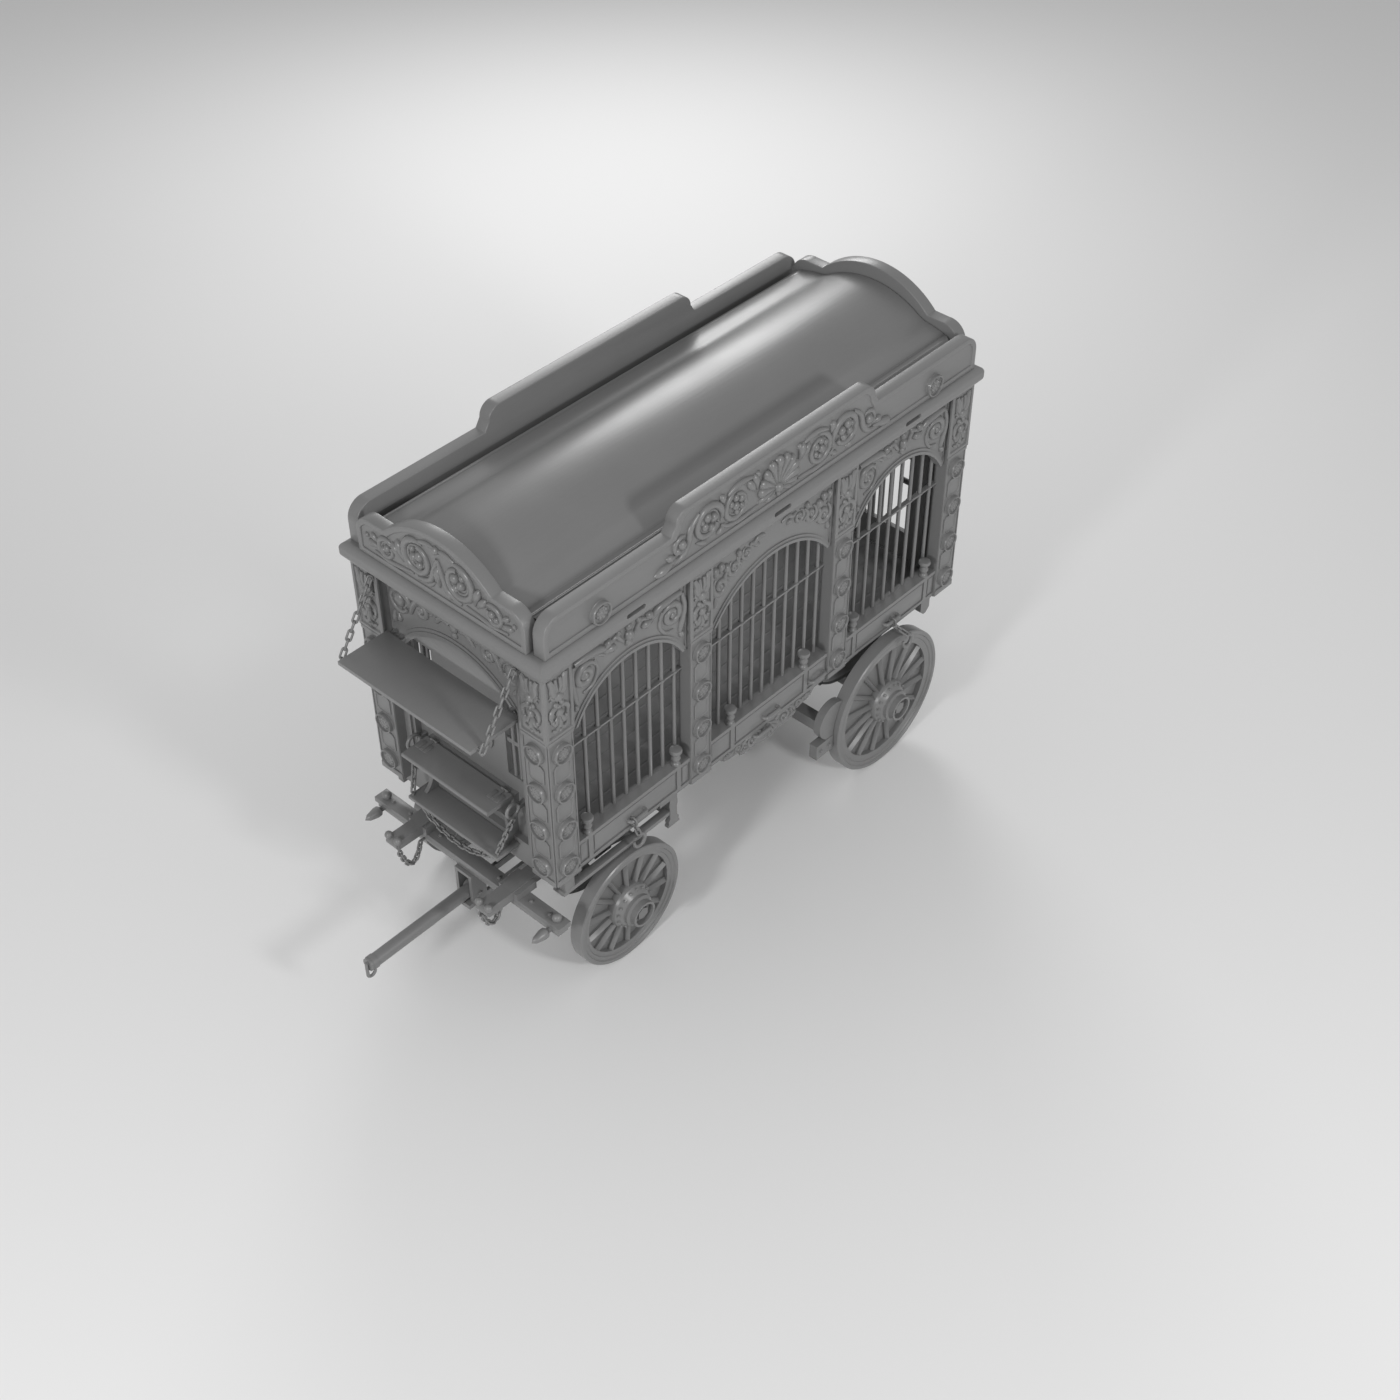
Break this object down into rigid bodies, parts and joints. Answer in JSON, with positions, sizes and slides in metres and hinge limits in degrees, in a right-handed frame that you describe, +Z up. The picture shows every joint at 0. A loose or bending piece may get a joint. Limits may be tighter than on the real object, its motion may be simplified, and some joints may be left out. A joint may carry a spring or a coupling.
{
  "type": "circus cage wagon",
  "caption": "Parade cage wagon: barred arched bays, carved posts, stepped parapets and barrel roof on sunburst wheels, with a steered forecarriage and draught pole.",
  "frame": {"origin": "middle of the box around the whole wagon, on the ground", "axes": "+X forward along the pole, +Y to the wagon's left, +Z up"},
  "size_m": [5.418, 2.206, 3.7488],
  "materials": {
    "painted_timber": "mid-grey paint, semi-gloss",
    "painted_iron": "mid-grey paint, semi-gloss"
  },
  "bodies": {
    "wagon_body": {"posts_left": "painted_timber", "posts_right": "painted_timber", "side_frame_left": "painted_timber", "side_frame_right": "painted_timber", "cage_bars_left": "painted_iron", "cage_bars_right": "painted_iron", "floor": "painted_timber", "underframe": "painted_timber", "front_frame": "painted_timber", "front_wall": "painted_timber", "rear_frame": "painted_timber", "cornice": "painted_timber", "parapet_left": "painted_timber", "parapet_right": "painted_timber", "crest_front": "painted_timber", "crest_rear": "painted_timber", "roof": "painted_timber", "sill_fittings_left": "painted_iron", "sill_fittings_right": "painted_iron", "hood_eyes": "painted_iron", "front_brackets": "painted_iron", "stay_rings": "painted_iron", "footboard": "painted_timber", "footboard_chains": "painted_iron", "rear_axle": "painted_iron", "rear_springs": "painted_iron", "brake_gear": "painted_iron", "lock_chains": "painted_iron", "turntable_upper": "painted_iron"},
    "forecarriage": {"turntable_lower": "painted_iron", "front_springs": "painted_iron", "front_axle": "painted_iron", "futchells": "painted_timber", "splinter_bar": "painted_timber", "futchell_chains": "painted_iron", "pole_jaw": "painted_iron"},
    "pole": {"pole": "painted_timber"},
    "hood": {"hood": "painted_timber"},
    "hood_chain_left": {"hood_chain_left": "painted_iron"},
    "hood_chain_right": {"hood_chain_right": "painted_iron"},
    "seat": {"seat": "painted_timber"},
    "door_left": {"rear_door_left": "painted_iron"},
    "door_right": {"rear_door_right": "painted_iron"},
    "wheel_front_left": {"wheel_front_left": "painted_timber"},
    "wheel_front_right": {"wheel_front_right": "painted_timber"},
    "wheel_rear_left": {"wheel_rear_left": "painted_timber"},
    "wheel_rear_right": {"wheel_rear_right": "painted_timber"}
  },
  "joints": [
    {"name": "steering", "type": "hinge", "parent": "wagon_body", "child": "forecarriage", "pos_m": [1.005, 0, 1.104], "axis": [0, 0, 1], "range_deg": [-60, 60]},
    {"name": "pole_lift", "type": "hinge", "parent": "forecarriage", "child": "pole", "pos_m": [1.71, 0, 0.617], "axis": [0, -1, 0], "range_deg": [0, 40]},
    {"name": "hood_fold", "type": "hinge", "parent": "wagon_body", "child": "hood", "pos_m": [1.672, 0, 2.615], "axis": [0, -1, 0], "range_deg": [0, 90]},
    {"name": "hood_chain_left_swing", "type": "hinge", "parent": "wagon_body", "child": "hood_chain_left", "pos_m": [1.732, 0.665, 3.089], "axis": [0, 1, 0], "range_deg": [0, 32.59]},
    {"name": "hood_chain_right_swing", "type": "hinge", "parent": "wagon_body", "child": "hood_chain_right", "pos_m": [1.732, -0.665, 3.089], "axis": [0, 1, 0], "range_deg": [0, 32.59]},
    {"name": "seat_fold", "type": "hinge", "parent": "wagon_body", "child": "seat", "pos_m": [1.624, 0, 1.764], "axis": [0, -1, 0], "range_deg": [0, 80]},
    {"name": "door_left_swing", "type": "hinge", "parent": "wagon_body", "child": "door_left", "pos_m": [-2.595, 0.546, 2.145], "axis": [0, 0, -1], "range_deg": [0, 110]},
    {"name": "door_right_swing", "type": "hinge", "parent": "wagon_body", "child": "door_right", "pos_m": [-2.595, -0.546, 2.145], "axis": [0, 0, 1], "range_deg": [0, 110]},
    {"name": "wheel_front_left_spin", "type": "hinge", "parent": "forecarriage", "child": "wheel_front_left", "pos_m": [1.005, 0.827, 0.502], "axis": [0, 1, 0], "continuous": true},
    {"name": "wheel_rear_left_spin", "type": "hinge", "parent": "wagon_body", "child": "wheel_rear_left", "pos_m": [-1.811, 0.915, 0.614], "axis": [0, 1, 0], "continuous": true},
    {"name": "wheel_front_right_spin", "type": "hinge", "parent": "forecarriage", "child": "wheel_front_right", "pos_m": [1.005, -0.827, 0.502], "axis": [0, 1, 0], "continuous": true},
    {"name": "wheel_rear_right_spin", "type": "hinge", "parent": "wagon_body", "child": "wheel_rear_right", "pos_m": [-1.811, -0.915, 0.614], "axis": [0, 1, 0], "continuous": true}
  ],
  "couplings": [
    {"joint": "hood_chain_left_swing", "follows": "hood_fold", "ratio": 0.36209},
    {"joint": "hood_chain_right_swing", "follows": "hood_fold", "ratio": 0.36209}
  ]
}
